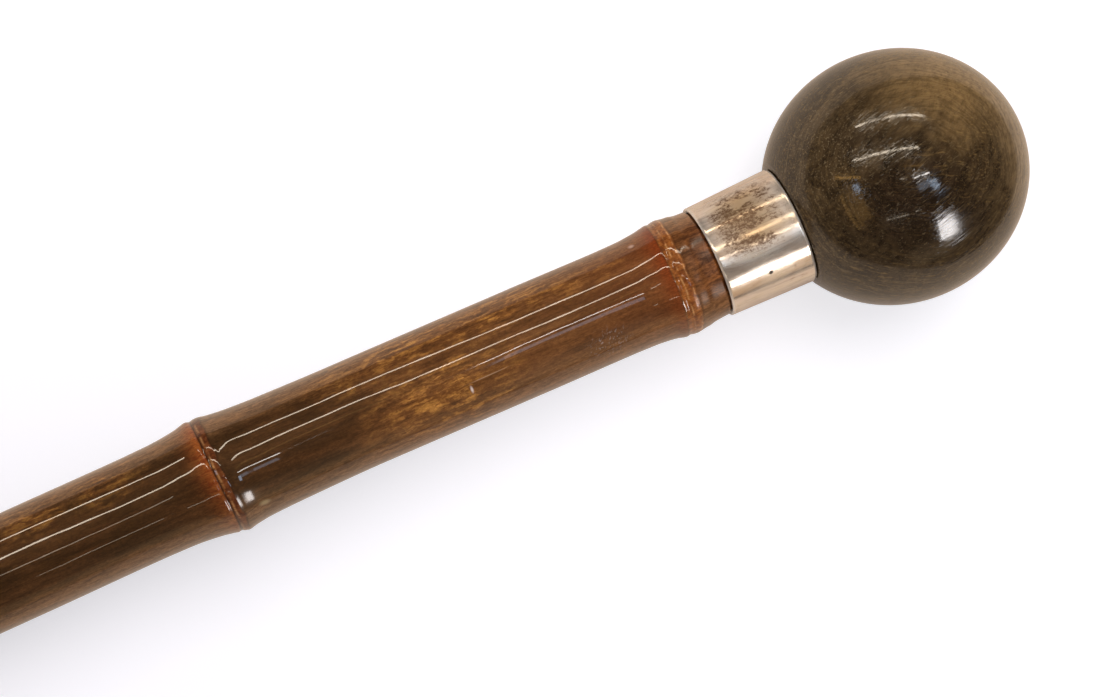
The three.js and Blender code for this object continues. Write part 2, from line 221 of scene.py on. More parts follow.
# Lamps are strips between two directions from the ball. A direction is (along, across) the stick
# for one of height, and the width is a share of the lamp's distance in metres.
LAMP_DISTANCE = 6
KEY_DISTANCE = 1.3
WARM_LIGHT = (1, 0.86, 0.68)
GOLDEN_LIGHT = (1, 0.55, 0.16)
PALE_LIGHT = (1, 0.95, 0.9)
WINDOW_LIGHT = (1, 0.96, 0.95)
SKY_LIGHT = (0.62, 0.78, 1)
KEY_LAMP = ("key", (0.0, 0.35), (0.9, 0.3), 0.7, 3.4, (1, 0.97, 0.94))
GLOSS_LAMPS = (  # name, start, end, width, radiance and colour; these show in gloss alone
    ("tube_far", (-0.42, 1.62), (1.05, 1.04), 0.036, 17, WARM_LIGHT),
    ("tube_near", (-0.62, 0.61), (0.44, 0.29), 0.034, 17, WARM_LIGHT),
    ("tube_low", (0.174, -0.14), (0.43, -0.17), 0.026, 20, PALE_LIGHT),
    ("tube_low_end", (-0.01, -0.06), (0.08, -0.1), 0.02, 8, WARM_LIGHT),
    ("row_of_spots", (-0.5, -0.7), (-0.1, -0.74), 0.016, 8, WARM_LIGHT),
    ("row_end", (0.03, -0.74), (0.12, -0.75), 0.016, 8, WARM_LIGHT),
    ("skylight", (0.185, -0.31), (0.4, -0.33), 0.1, 2.4, SKY_LIGHT),
    ("window", (0.4, -0.4), (0.52, -0.4), 0.17, 7, SKY_LIGHT),
    ("small_window", (-0.78, 0.09), (-0.65, 0.09), 0.13, 6, SKY_LIGHT),
    ("rail_left", (-1.25, 0.57), (-0.56, 0.23), 0.04, 5, GOLDEN_LIGHT),
    ("rail_right", (0.08, 0.09), (0.42, -0.02), 0.03, 1.6, GOLDEN_LIGHT),
    ("panel_left", (-1.3, -0.9), (-1.2, 0.1), 0.05, 2.0, GOLDEN_LIGHT),
    ("panel_middle", (-1.08, -0.8), (-1.0, 0.1), 0.04, 1.5, GOLDEN_LIGHT),
    ("panel_right", (-0.85, -0.6), (-0.75, 0.05), 0.16, 1.1, GOLDEN_LIGHT),
    ("low_window", (0.6, -1.4), (1.2, -3.9), 0.22, 19, WINDOW_LIGHT),
)

# Patches of the materials: (along, across, up) from the ball's centre and the reach, in millimetres
PATCH_CORE_SHARE = 0.15  # a patch is at full strength within this share of its reach
HORN_TAN_ABOVE = ((12, 12, 12), (21, 17, 26))
HORN_TAN_END = ((22, -5, 6), (10, 24, 26))
HORN_BLACK_MIDDLE = ((-3, -6, 20), (20, 17, 22))
HORN_DARK_LEFT = ((-8, 9, 18), (9, 6, 14))
HORN_GOLDEN_SIDE = ((8, -1, 14), (17, 15, 22))
HORN_DUSTY_SIDE = ((-12, 8, 12), (16, 16, 22))
HORN_HANDLED = ((5, -13, 18), (9, 8, 12))
GOLD_UPPER = ((-84, 7.5, 8), (44, 5.5, 10))
GOLD_BELLY = ((-91, -3, 9), (19, 10, 12))
GOLD_FAR = ((-151, 7, 8), (9, 4.5, 10))
GOLD_END = ((-165, 7, 8), (11, 4.5, 10))
CULM_STUB = ((-35, 0, 6), (13, 16, 16))
WORN_BY_COLLAR = ((-38, -5, 8), (10, 8, 14))
SCUFFED = ((-60.5, -6.3, 8), (5.5, 3.5, 12))
DULLED = ((-131, -6, 8), (6, 6, 12))
LACQUER_SWELLS = (  # each with the height that it stands out
    ((-66, 1.5, 9), (32, 5, 12), 0.13),
    ((-168, 8.5, 5), (38, 8, 12), 0.3),
    ((-114, 6, 8), (24, 7, 12), 0.155),
)
SKIN_MARKS = (  # each with its colour and strength
    ((-127.1, -7.4, 8), (1.5, 0.6, 12), paint(168, 146, 104), 0.75),
    ((-86.2, -4.1, 8), (0.35, 0.9, 12), paint(230, 212, 200), 0.85),
    ((-82.5, -3.0, 8), (5.5, 0.16, 12), paint(200, 162, 124), 0.55),
    ((-49.9, 7.6, 8), (0.8, 0.4, 12), paint(206, 168, 146), 0.75),
)

# Stretches over which a material changes, in millimetres from the ball's centre
WARM_ALONG = (-116, -92)
MOTTLED_ALONG = (-180, -210)
FIRST_NODE_ALONG = (-60, -54)
# Painted sheen: the shaft is paler along both of its edges as seen from above
UPPER_SHEEN_ACROSS = (5.8, 9.2)
LOWER_SHEEN_ACROSS = (-5.0, -8.8)
NODE_GLOW_ACROSS = (-8, 4)
HORN_RIM_UP = (11, 19)

# Colours
HORN_SHADE = paint(50, 37, 22)
HORN_BROWN = paint(78, 61, 39)
HORN_TAN = paint(128, 100, 62)
HORN_PALE_TAN = paint(140, 114, 80)
HORN_DARK = paint(52, 40, 27)
HORN_BLACK = paint(34, 23, 15)
HORN_LAYER = paint(138, 114, 78)
HORN_GOLD = paint(142, 112, 66)
HORN_DUST = paint(132, 112, 82)
# painted glints of the fine scratches
HORN_PAINTED_SCRATCH_GLINT = paint(120, 102, 74)
HORN_PIT = paint(24, 15, 8)
BAMBOO_DARK = paint(57, 35, 16)
BAMBOO_BROWN = paint(75, 46, 23)
BAMBOO_WARM = paint(94, 56, 28)
BAMBOO_TAWNY = paint(117, 74, 40)
BAMBOO_SHADE = paint(82, 50, 23)
BAMBOO_AMBER = paint(126, 78, 36)
BAMBOO_GOLD = paint(194, 134, 62)
# painted sheen along the shaft's edges
BAMBOO_PAINTED_SHEEN = paint(146, 102, 62)
BAMBOO_STUB = paint(74, 35, 14)
BAMBOO_STUB_LIGHT = paint(140, 82, 38)
NODE_RED = paint(132, 56, 20)
NODE_AMBER = paint(160, 86, 36)
FIRST_NODE_RED = paint(130, 56, 20)
RIDGE_DARK = paint(84, 38, 16)
RIDGE_LIGHT = paint(116, 62, 30)
FIRST_RIDGE_DARK = paint(122, 58, 20)
FIRST_RIDGE_LIGHT = paint(176, 102, 42)
# painted glint on a node's crest lines
PAINTED_CREST_GLINT = paint(208, 150, 92)
GROOVE_DARK = paint(44, 20, 9)
SCUFF = paint(176, 160, 150)
LACQUER_TINT = (1, 0.72, 0.42, 1)
SILVER_GREY = paint(224, 204, 184)
SILVER_PALE = paint(242, 230, 216)
SILVER_YELLOW = paint(212, 188, 146)
SILVER_GOLDEN = paint(188, 152, 100)
SILVER_FRECKLE = paint(150, 114, 76)
SILVER_STAIN = paint(94, 60, 30)
SILVER_PAINTED_RIM_GLINT = paint(244, 236, 222)
WOOD_DARK = paint(104, 74, 44)
WOOD_LIGHT = paint(158, 122, 80)
BRASS = (paint(190, 164, 108), paint(128, 102, 62), 0.3)  # light, dark and roughness
STEEL = (paint(150, 150, 150), paint(86, 82, 78), 0.36)
BLACKENED_STEEL = (paint(74, 66, 60), paint(30, 26, 24), 0.5)
METAL_DULLING = 0.14  # the roughness goes up by this in places

rng = np.random.default_rng(7)


def node_places():
    places = []
    x = collar_end_x - FIRST_NODE_FROM_COLLAR
    internode = FIRST_INTERNODE
    while x - LAST_STUMP_SHARE * internode > tip_shoulder_x:
        places.append(x)
        x -= internode
        internode += INTERNODE_GROWTH
    return places


nodes = node_places()


def side_of(k):
    return -1 if k % 2 else 1


def heading_of_stretch(k):
    return side_of(k) * KINK_ANGLE / 2 if k else HANDLE_ANGLE


def ramp_past(distance):
    """Zero before a kink, and the distance past it beyond, with a soft turn between."""
    t = np.clip((distance + KINK_REACH) / (2 * KINK_REACH), 0, 1)
    return 2 * KINK_REACH * (t**3 - t**4 / 2) + np.maximum(distance - KINK_REACH, 0)


def sway_at(x):
    """How far the culm's centre line lies to the side."""
    sway = (x - ball_centre_x) * math.tan(heading_of_stretch(0))
    for k, node_x in enumerate(nodes):
        turn = math.tan(heading_of_stretch(k + 1)) - math.tan(heading_of_stretch(k))
        sway = sway - turn * ramp_past(node_x - x)
    return sway


def heading_at(x):
    step = KINK_REACH / 3
    return np.arctan((sway_at(x + step) - sway_at(x - step)) / (2 * step))


def lean_at(x):
    """How far the culm's section lies towards the buds; the first node has none."""
    lean = np.zeros_like(x)
    for k, node_x in enumerate(nodes[1:]):
        reach = np.where(x > node_x, RIDGE_REACH + SWELL_REACH, RIDGE_REACH)
        lean -= side_of(k) * NODE_LEAN * np.maximum(0, 1 - np.abs(x - node_x) / reach)
    return lean


def slant_at(x):
    """Slope of the culm's section along the stick: a crest is slanted."""
    slant = np.zeros_like(x)
    for k, node_x in enumerate(nodes):
        near = np.clip(2 - np.abs(x - node_x) / RIDGE_REACH, 0, 1)
        slant += side_of(k) * math.tan(NODE_SLANT) * near
    return slant


def internode_radius(x):
    share = (top_shoulder_x - x) / (top_shoulder_x - tip_shoulder_x)
    taper = np.clip(share, 0, 1) ** TAPER_POWER
    return (CULM_HANDLE_DIAMETER + (CULM_TIP_DIAMETER - CULM_HANDLE_DIAMETER) * taper) / 2


def node_rise(k):
    girth = 2 * internode_radius(nodes[k]) / CULM_HANDLE_DIAMETER
    return (NODE_RISE if k else FIRST_NODE_RISE) * girth


def rise_outline():
    """Rise of the culm over its internode radius, as (place, rise), from tip to handle."""
    outline = [(tip_shoulder_x, 0.0)]
    for k in reversed(range(len(nodes))):
        crest = nodes[k]
        stump = crest - RIDGE_REACH - tip_shoulder_x
        flare_room = min(FLARE_REACH if k else FIRST_FLARE_REACH, FLARE_ROOM_SHARE * stump)
        swell_room = SWELL_REACH if k else top_shoulder_x - crest - RIDGE_REACH
        swell = SWELL_SHARES if k else STUB_SWELL_SHARES
        rows = [(crest - RIDGE_REACH + along * flare_room, rise) for along, rise in FLARE_SHARES]
        rows += [(crest + along * RIDGE_REACH, rise) for along, rise in RIDGE_SHARES]
        rows += [(crest + RIDGE_REACH + along * swell_room, rise) for along, rise in swell]
        outline += [(x, rise * node_rise(k)) for x, rise in rows]
    return np.array(outline)


def smooth_through(points):
    """A smooth curve through the points that never overshoots them."""
    x, y = points[:, 0], points[:, 1]
    step = np.diff(x)
    slope = np.diff(y) / step
    tangent = np.zeros_like(y)
    same_way = slope[:-1] * slope[1:] > 0
    mean = 2 * slope[:-1] * slope[1:] / np.where(same_way, slope[:-1] + slope[1:], 1)
    tangent[1:-1] = np.where(same_way, mean, 0)

    def curve(at):
        i = np.clip(np.searchsorted(x, at) - 1, 0, len(step) - 1)
        t = np.clip((at - x[i]) / step[i], 0, 1)
        a, b = y[i], y[i + 1]
        ta, tb = tangent[i] * step[i], tangent[i + 1] * step[i]
        return (
            a * (2 * t**3 - 3 * t**2 + 1)
            + b * (3 * t**2 - 2 * t**3)
            + ta * (t**3 - 2 * t**2 + t)
            + tb * (t**3 - t**2)
        )

    return curve


culm_rise = smooth_through(rise_outline())


def tapered_radius(x, end_x, end_diameter, top_x, top_diameter):
    share = (x - end_x) / (top_x - end_x)
    return (end_diameter + (top_diameter - end_diameter) * share) / 2


def collar_radius(x):
    return tapered_radius(x, collar_end_x, COLLAR_SHAFT_DIAMETER, collar_top_x, COLLAR_HANDLE_DIAMETER)


def ferrule_radius(x):
    return tapered_radius(x, ferrule_end_x, FERRULE_END_DIAMETER, ferrule_top_x, FERRULE_TOP_DIAMETER)


# The stick's own frame in the row's: the record's flat face is at its zero
tip_face = next(m for m in frame["record"]["mounts"] if m["name"] == "tip_face")
tip_axis = Vector(tip_face["axis"])
tilt = math.atan2(-tip_axis.z, -tip_axis.x)
lay_down = Matrix.Rotation(-tilt, 3, "Y")
stick_origin = np.array(tip_face["pos_m"]) / MM - np.array([0, float(sway_at(np.array(0.0))), 0])


def to_row(points):
    """Points of the straight stick, in millimetres, to the row's frame in metres."""
    straight_x, straight_y, z = points.T
    x = straight_x + slant_at(straight_x) * straight_y
    y = straight_y + lean_at(straight_x)
    heading = heading_at(x)
    bent = np.stack([x - y * np.sin(heading), sway_at(x) + y * np.cos(heading), z], axis=-1)
    return (bent @ np.array(lay_down).T + stick_origin) * MM


ball_centre = Vector(to_row(np.array([[ball_centre_x, 0.0, 0.0]]))[0])


def add_object(name, data):
    thing = bpy.data.objects.new(name, data)
    bpy.context.scene.collection.objects.link(thing)
    return thing


def new_piece(name, points, faces, marks=None):
    """A smooth piece from points of the straight stick. Its marks have a value for each point."""
    mesh = bpy.data.meshes.new(name)
    mesh.from_pydata(to_row(points).tolist(), [], faces)
    mesh.polygons.foreach_set("use_smooth", [True] * len(faces))
    for mark, values in (marks or {}).items():
        layer = mesh.attributes.new(mark, "FLOAT", "POINT")
        layer.data.foreach_set("value", np.ravel(values).astype(np.float32))
    mesh.update()
    return add_object(name, mesh)


def dress(piece, node_name, material):
    piece.data.materials.append(material)
    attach(piece, "root")
    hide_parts(node_name)


def angles(sides):
    return np.linspace(0, 2 * math.pi, sides, endpoint=False)


def waves(sides, reach, count, strongest):
    """A smooth uneven line round a piece, within the reach to both sides of zero."""
    angle = angles(sides)
    total = np.zeros(sides)
    for harmonic in range(1, count + 1):
        fade = 1 / (1 + abs(harmonic - strongest))
        total += fade * np.sin(harmonic * angle + rng.uniform(0, 2 * math.pi))
    return reach * (total / np.abs(total).max())


def ring_faces(rings, sides, closed=False):
    """Quads between rings of points, with the last ring joined to the first where closed."""
    ring, side = np.meshgrid(np.arange(rings if closed else rings - 1), np.arange(sides), indexing="ij")
    here = ring * sides
    beyond = (ring + 1) % rings * sides
    next_side = (side + 1) % sides
    quads = [here + next_side, beyond + next_side, beyond + side, here + side]
    return np.stack(quads, axis=-1).reshape(-1, 4).tolist()


def sweep(outline, sides):
    """The grids of place and radius of an outline: their rows go round the stick."""
    x, radius = np.array(outline, dtype=float).T
    return np.repeat(x[:, None], sides, 1), np.repeat(radius[:, None], sides, 1)


def turned_points(x, radius):
    """The points of turned work, row by row."""
    angle = angles(x.shape[1])
    grid = np.stack([x, -radius * np.sin(angle), radius * np.cos(angle)], axis=-1)
    return grid.reshape(-1, 3)


def turned_solid(name, x, radius, marks=None):
    """Closed turned work, from grids of place and radius.

    The first and last rows lie on the axis, and the rows between run from the inside of the
    tip's end, over the outside, to the inside of the handle's end.
    """
    rings, sides = len(x) - 2, x.shape[1]
    ends = np.array([[x[0, 0], 0, 0], [x[-1, 0], 0, 0]])
    points = np.concatenate([turned_points(x[1:-1], radius[1:-1]), ends])
    top = (rings - 1) * sides
    first, last = rings * sides, rings * sides + 1
    faces = ring_faces(rings, sides)
    faces += [((side + 1) % sides, side, first) for side in range(sides)]
    faces += [(top + side, top + (side + 1) % sides, last) for side in range(sides)]
    at_points = {mark: np.append(values[1:-1], [0, 0]) for mark, values in (marks or {}).items()}
    return new_piece(name, points, faces, at_points)


def sleeve_outline(end_x, top_x, radius_at, wall, edge, rings):
    """A thin tube's outline, from inside its lower rim over the outside to inside its upper rim."""
    x = np.concatenate([[end_x, end_x], np.linspace(end_x + edge, top_x - edge, rings), [top_x, top_x]])
    inset = np.concatenate([[wall, edge], np.zeros(rings), [edge, wall]])
    return np.stack([x, radius_at(x) - inset], axis=-1)


def turned_sleeve(name, outline, sides, swell, marks=None):
    """A thin tube that closes on itself through its bore, with an uneven outside."""
    x, radius = sweep(outline, sides)
    radius[1:-1] += waves(sides, *swell)
    faces = ring_faces(len(outline), sides, closed=True)
    return new_piece(name, turned_points(x, radius), faces, marks)


def make_ball(material):
    """The horn ball: a long spheroid with a flat seat and a bore for the stud."""
    bore_end = seat_x + BALL_BORE_DEPTH
    bore = STUD_DIAMETER / 2 + GLUE_GAP
    # Two rows at the bore's mouth keep its edge crisp
    inside = [(bore_end, 0), (bore_end, bore), (seat_x, bore), (seat_x, bore)]
    turn = seat_angle * (1 - np.linspace(0, 1, BALL_RINGS))
    outside_x = ball_centre_x + BALL_LENGTH / 2 * np.cos(turn)
    outside = np.stack([outside_x, BALL_WIDTH / 2 * np.sin(turn)], axis=-1)
    piece = turned_solid("ball", *sweep(inside + outside.tolist(), BALL_SIDES))
    dress(piece, "ball_handle", material)


def make_collar(material):
    """The thin silver tube, a little uneven lengthwise, with soft rims."""
    outline = sleeve_outline(
        collar_end_x, collar_top_x, collar_radius, COLLAR_WALL, COLLAR_EDGE, COLLAR_RINGS
    )
    along = (outline[:, :1] - collar_end_x) / COLLAR_LENGTH
    upper = np.clip(TARNISH_FADE * np.cos(angles(COLLAR_SIDES) - TARNISH_ANGLE) - TARNISH_START, 0, 1)
    from_rim = np.minimum(along, 1 - along) * COLLAR_LENGTH
    # Painted glint: a bright band along both rims
    rim = PAINTED_GLINT_RIM_STRENGTH * np.sqrt(np.clip(1 - from_rim / PAINTED_GLINT_RIM_WIDTH, 0, 1))
    marks = {"tarnish": 4 * along * (1 - along) * upper, "rim": np.repeat(rim, COLLAR_SIDES, 1)}
    piece = turned_sleeve("collar_sleeve", outline, COLLAR_SIDES, COLLAR_SWELL, marks)
    dress(piece, "collar", material)


def make_ferrule(material):
    outline = sleeve_outline(
        ferrule_end_x, ferrule_top_x, ferrule_radius, FERRULE_WALL, FERRULE_EDGE, FERRULE_RINGS
    )
    piece = turned_sleeve("ferrule_sleeve", outline, FERRULE_SIDES, FERRULE_SWELL)
    dress(piece, "ferrule", material)


def culm_skin_places():
    """Where the culm's skin has rings: closer together near the nodes."""
    places = [np.linspace(tip_shoulder_x, top_shoulder_x, CULM_RINGS)]
    for node_x in nodes:
        places.append(node_x + np.linspace(-FLARE_REACH / 3, SWELL_REACH / 2, NODE_RINGS))
        places.append(node_x + np.linspace(-RIDGE_REACH, RIDGE_REACH, RIDGE_RINGS))
    places = np.unique(np.round(np.concatenate(places), 3))
    return places[(places >= tip_shoulder_x) & (places <= top_shoulder_x)]


def bell(distance, width):
    return np.exp(-((distance / width) ** 2))


def mark_node(marks, look, local, ragged):
    """Adds a node's marks, from places in ridge reaches, and returns its lumps."""
    before = local <= look.start
    near = bell((local - look.start) * RIDGE_REACH, NEAR_GLOW_REACH) * before
    wide = np.clip(1 + (local - look.start) / look.glow_reach, 0, 1) ** 2 * before
    stop = look.stop + RAGGED_EDGE_SHARE * ragged
    onto = np.clip((local - look.start) / START_EDGE_SHARE, 0, 1)
    off = np.clip((stop - local) / look.soft_edge, 0, 1)

    def add(mark, values):
        marks[mark] = np.maximum(marks[mark], values)

    add("amber", NEAR_GLOW * near + look.glow * wide)
    add("ridge", look.ridge * onto * off)
    # Painted glints: thin light lines round the ridge
    for line in look.lines:
        add("crest", look.line * bell(local - line - RAGGED_GLINT_SHARE * ragged, look.line_width))
    add("groove", look.start_groove * bell(local - look.start, GROOVE_SHARE))
    add("groove", look.stop_groove * bell(local - stop, GROOVE_SHARE))
    add("dent", look.dent * bell(local - DENT_AT_SHARE, DENT_SHARE))
    return look.lumps * ragged * onto * off


def make_culm(material):
    """The bamboo: its ringed skin between two bored tenons."""
    skin = culm_skin_places()
    tip_bore = TIP_PLUG_DIAMETER / 2 + GLUE_GAP
    top_bore = TOP_PLUG_DIAMETER / 2 + GLUE_GAP
    tip_bore_x = culm_end_x + TIP_PLUG_LENGTH + GLUE_GAP
    top_bore_x = collar_top_x - TOP_PLUG_LENGTH - GLUE_GAP
    start = [
        (tip_bore_x, 0),
        (tip_bore_x, tip_bore),
        (culm_end_x, tip_bore),
        (culm_end_x, ferrule_radius(culm_end_x) - FERRULE_WALL - GLUE_GAP),
        (tip_shoulder_x, ferrule_radius(tip_shoulder_x) - FERRULE_WALL - GLUE_GAP),
    ]
    stop = [
        (top_shoulder_x, collar_radius(top_shoulder_x) - COLLAR_WALL - GLUE_GAP),
        (collar_top_x, collar_radius(collar_top_x) - COLLAR_WALL - GLUE_GAP),
        (collar_top_x, top_bore),
        (top_bore_x, top_bore),
        (top_bore_x, 0),
    ]
    x, radius = sweep(start + [(at, internode_radius(at)) for at in skin] + stop, CULM_SIDES)
    body = slice(len(start), len(start) + len(skin))
    marks = {mark: np.zeros_like(x) for mark in ("amber", "ridge", "crest", "groove", "dent")}
    shift = np.zeros_like(x)
    lumps = np.zeros_like(x)
    for k, node_x in enumerate(nodes):
        wobble = waves(CULM_SIDES, *NODE_WOBBLE)
        ragged = waves(CULM_SIDES, *NODE_RAGGED_LINE)
        near_node = wobble * np.clip(1 - np.abs(x - node_x) / (2 * RIDGE_REACH), 0, 1)
        shift += near_node
        local = (x + near_node - node_x) / RIDGE_REACH
        lumps += mark_node(marks, NODE_MARKS if k else FIRST_NODE_MARKS, local, ragged)
    radius[body] = internode_radius(x[body]) + culm_rise(x[body] + shift[body]) + lumps[body]
    radius[body] += waves(CULM_SIDES, *CULM_SWELL)
    dress(turned_solid("bamboo_culm", x, radius, marks), "culm", material)


def make_tip(material):
    """The steel end: a flat face with a rounded rim, and the spigot that the ferrule takes."""
    radius = FERRULE_END_DIAMETER / 2
    rim = [
        (TIP_RIM_ROUND * (1 - math.cos(turn)), radius - TIP_RIM_ROUND * (1 - math.sin(turn)))
        for turn in np.linspace(0, math.pi / 2, TIP_RIM_STEPS)
    ]
    spigot_top = TIP_THICKNESS + TIP_SPIGOT_LENGTH
    spigot = ferrule_radius(ferrule_end_x) - FERRULE_WALL - GLUE_GAP
    outline = [
        (0, 0),
        (0, radius / 2),
        *rim,
        (TIP_THICKNESS - TIP_EDGE, radius),
        (TIP_THICKNESS, radius - TIP_EDGE),
        (TIP_THICKNESS, spigot),
        (spigot_top, spigot),
        (spigot_top, 0),
    ]
    piece = turned_solid("steel_tip", *sweep(outline, FERRULE_SIDES))
    dress(piece, "ferrule_tip", material)


def make_pin(name, diameter, x, radius, angle):
    """A pin with a slightly domed head, flush with the sleeve that it holds."""
    rows = [(-PIN_LENGTH, 0), (-PIN_LENGTH, diameter / 2)]
    rows += [
        (PIN_DOME_SHARE * diameter * math.sin(turn), diameter / 2 * math.cos(turn))
        for turn in np.linspace(0, math.pi / 2, PIN_DOME_STEPS)
    ]
    out = Vector((0, -math.sin(angle), math.cos(angle)))
    side = Vector((1, 0, 0))
    across = out.cross(side)
    points = []
    for height, row_radius in rows:
        for turn in angles(PIN_SIDES):
            round_it = side * math.cos(turn) + across * math.sin(turn)
            point = out * (radius + height) + round_it * max(row_radius, PIN_END_RADIUS)
            points.append((x + point.x, point.y, point.z))
    return new_piece(name, np.array(points), ring_faces(len(rows), PIN_SIDES))


def make_collar_pin(material):
    x = (collar_end_x + collar_top_x) / 2
    piece = make_pin("collar_pin_head", COLLAR_PIN_DIAMETER, x, collar_radius(x), COLLAR_PIN_ANGLE)
    dress(piece, "collar_pin", material)


def make_ferrule_pin(material):
    x = ferrule_top_x - FERRULE_PIN_FROM_TOP
    piece = make_pin("ferrule_pin_head", FERRULE_PIN_DIAMETER, x, ferrule_radius(x), 0.0)
    dress(piece, "ferrule_pin", material)


class Graph:
    """Builds the nodes of one material or world."""

    def __init__(self, owner):
        owner.use_nodes = True
        self.owner = owner
        self.tree = owner.node_tree

    def feed(self, socket, value):
        if isinstance(value, bpy.types.NodeSocket):
            self.tree.links.new(value, socket)
        else:
            socket.default_value = value

    def add(self, kind, inputs, **settings):
        node = self.tree.nodes.new(kind)
        for key, value in settings.items():
            setattr(node, key, value)
        for key, value in inputs.items():
            self.feed(node.inputs[key], value)
        return node

    def principled(self, **inputs):
        for key, value in inputs.items():
            self.feed(self.tree.nodes["Principled BSDF"].inputs[key.replace("_", " ")], value)

    def path(self):
        return self.add("ShaderNodeLightPath", {}).outputs

    def texture_place(self, kind):
        return self.add("ShaderNodeTexCoord", {}).outputs[kind]

    def stick_mm(self):
        """Millimetres in the straight stick's frame, from the ball's centre."""
        inputs = {
            "Vector": self.texture_place("Object"),
            "Location": ball_centre,
            "Rotation": (0, -tilt, 0),
            "Scale": (MM, MM, MM),
        }
        return self.add("ShaderNodeMapping", inputs, vector_type="TEXTURE").outputs["Vector"]

    def stretch(self, vector, scale, location=(0, 0, 0)):
        inputs = {"Vector": vector, "Location": location, "Scale": scale}
        return self.add("ShaderNodeMapping", inputs).outputs["Vector"]

    def turned(self, vector, length, turn):
        """The vector turned about Z, then shortened along its new X."""
        inputs = {"Vector": vector, "Rotation": (0, 0, turn), "Scale": (length, 1, 1)}
        return self.add("ShaderNodeMapping", inputs, vector_type="TEXTURE").outputs["Vector"]

    def warped(self, vector, scale, reach):
        """The vector, moved about by up to the reach."""
        inputs = {"Vector": vector, "Scale": scale, "Detail": 3.0}
        cloud = self.add("ShaderNodeTexNoise", inputs).outputs["Color"]
        centred = self.add("ShaderNodeVectorMath", {0: cloud, 1: (0.5, 0.5, 0.5)}, operation="SUBTRACT")
        inputs = {0: centred.outputs[0], 1: (2 * reach, 2 * reach, 2 * reach), 2: vector}
        return self.add("ShaderNodeVectorMath", inputs, operation="MULTIPLY_ADD").outputs[0]

    def noise(self, vector, scale, detail=4, roughness=0.5, distortion=0):
        inputs = {
            "Vector": vector,
            "Scale": scale,
            "Detail": detail,
            "Roughness": roughness,
            "Distortion": distortion,
        }
        return self.add("ShaderNodeTexNoise", inputs).outputs["Fac"]

    def spots(self, vector, scale):
        return self.add("ShaderNodeTexVoronoi", {"Vector": vector, "Scale": scale}).outputs["Distance"]

    def ramp(self, value, *stops):
        node = self.add("ShaderNodeValToRGB", {"Fac": value})
        elements = node.color_ramp.elements
        while len(elements) < len(stops):
            elements.new(1)
        for element, (place, colour) in zip(elements, stops):
            element.position = place
            element.color = (*colour, 1)
        return node.outputs["Color"]

    def band(self, value, low, high, to_low=0.0, to_high=1.0):
        """The value, taken softly from the stretch between low and high to another."""
        inputs = {"Value": value, 1: low, 2: high, 3: to_low, 4: to_high}
        return self.add("ShaderNodeMapRange", inputs, interpolation_type="SMOOTHSTEP").outputs[0]

    def maths(self, operation, a, b, clamp=False):
        return self.add("ShaderNodeMath", {0: a, 1: b}, operation=operation, use_clamp=clamp).outputs[0]

    def times(self, a, b, clamp=False):
        return self.maths("MULTIPLY", a, b, clamp)

    def plus(self, a, b):
        return self.maths("ADD", a, b)

    def most(self, value, *others):
        for other in others:
            value = self.maths("MAXIMUM", value, other)
        return value

    def mix(self, factor, a, b, blend="MIX"):
        node = self.add("ShaderNodeMix", {}, data_type="RGBA", blend_type=blend)
        for index, value in ((0, factor), (6, a), (7, b)):
            self.feed(node.inputs[index], value if not isinstance(value, tuple) else (*value, 1))
        return node.outputs[2]

    def shaded(self, strength, colour, value):
        return self.mix(strength, colour, value, "MULTIPLY")

    def blend(self, share, a, b):
        """The shader node that goes from one to another."""
        return self.add("ShaderNodeMixShader", {0: share, 1: a.outputs[0], 2: b.outputs[0]})

    def mark(self, name):
        return self.add("ShaderNodeAttribute", {}, attribute_name=name).outputs["Fac"]

    def axis(self, vector, name):
        return self.add("ShaderNodeSeparateXYZ", {"Vector": vector}).outputs[name]

    def patch(self, place, centre, reach):
        """A soft spot of 1 at a place, that fades to 0 at its reach along each axis."""
        moved = tuple(-c / r for c, r in zip(centre, reach))
        scaled = self.stretch(place, tuple(1 / r for r in reach), location=moved)
        away = self.add("ShaderNodeVectorMath", {0: scaled}, operation="LENGTH").outputs["Value"]
        return self.band(away, PATCH_CORE_SHARE, 1.0, 1.0, 0.0)

    def bump(self, height, distance, strength=1.0, normal=None):
        inputs = {"Height": height, "Distance": distance * MM, "Strength": strength}
        if normal is not None:
            inputs["Normal"] = normal
        return self.add("ShaderNodeBump", inputs).outputs["Normal"]


def material_graph(name):
    return Graph(bpy.data.materials.new(name))


def horn_clouds(g, bent, tan_above, tan_end):
    """The horn's broad tones."""
    cloud = g.noise(g.turned(bent, 3.0, 0.5), 0.35, detail=5, roughness=0.6)
    tone = g.mix(g.band(cloud, 0.36, 0.64), HORN_SHADE, HORN_BROWN)
    tone = g.mix(g.times(tan_above, 0.9), tone, HORN_TAN)
    tone = g.mix(g.times(tan_end, 0.9), tone, HORN_PALE_TAN)
    tone = g.mix(g.times(g.patch(bent, *HORN_DARK_LEFT), 0.6), tone, HORN_DARK)
    return g.mix(g.times(g.patch(bent, *HORN_BLACK_MIDDLE), 0.92), tone, HORN_BLACK)


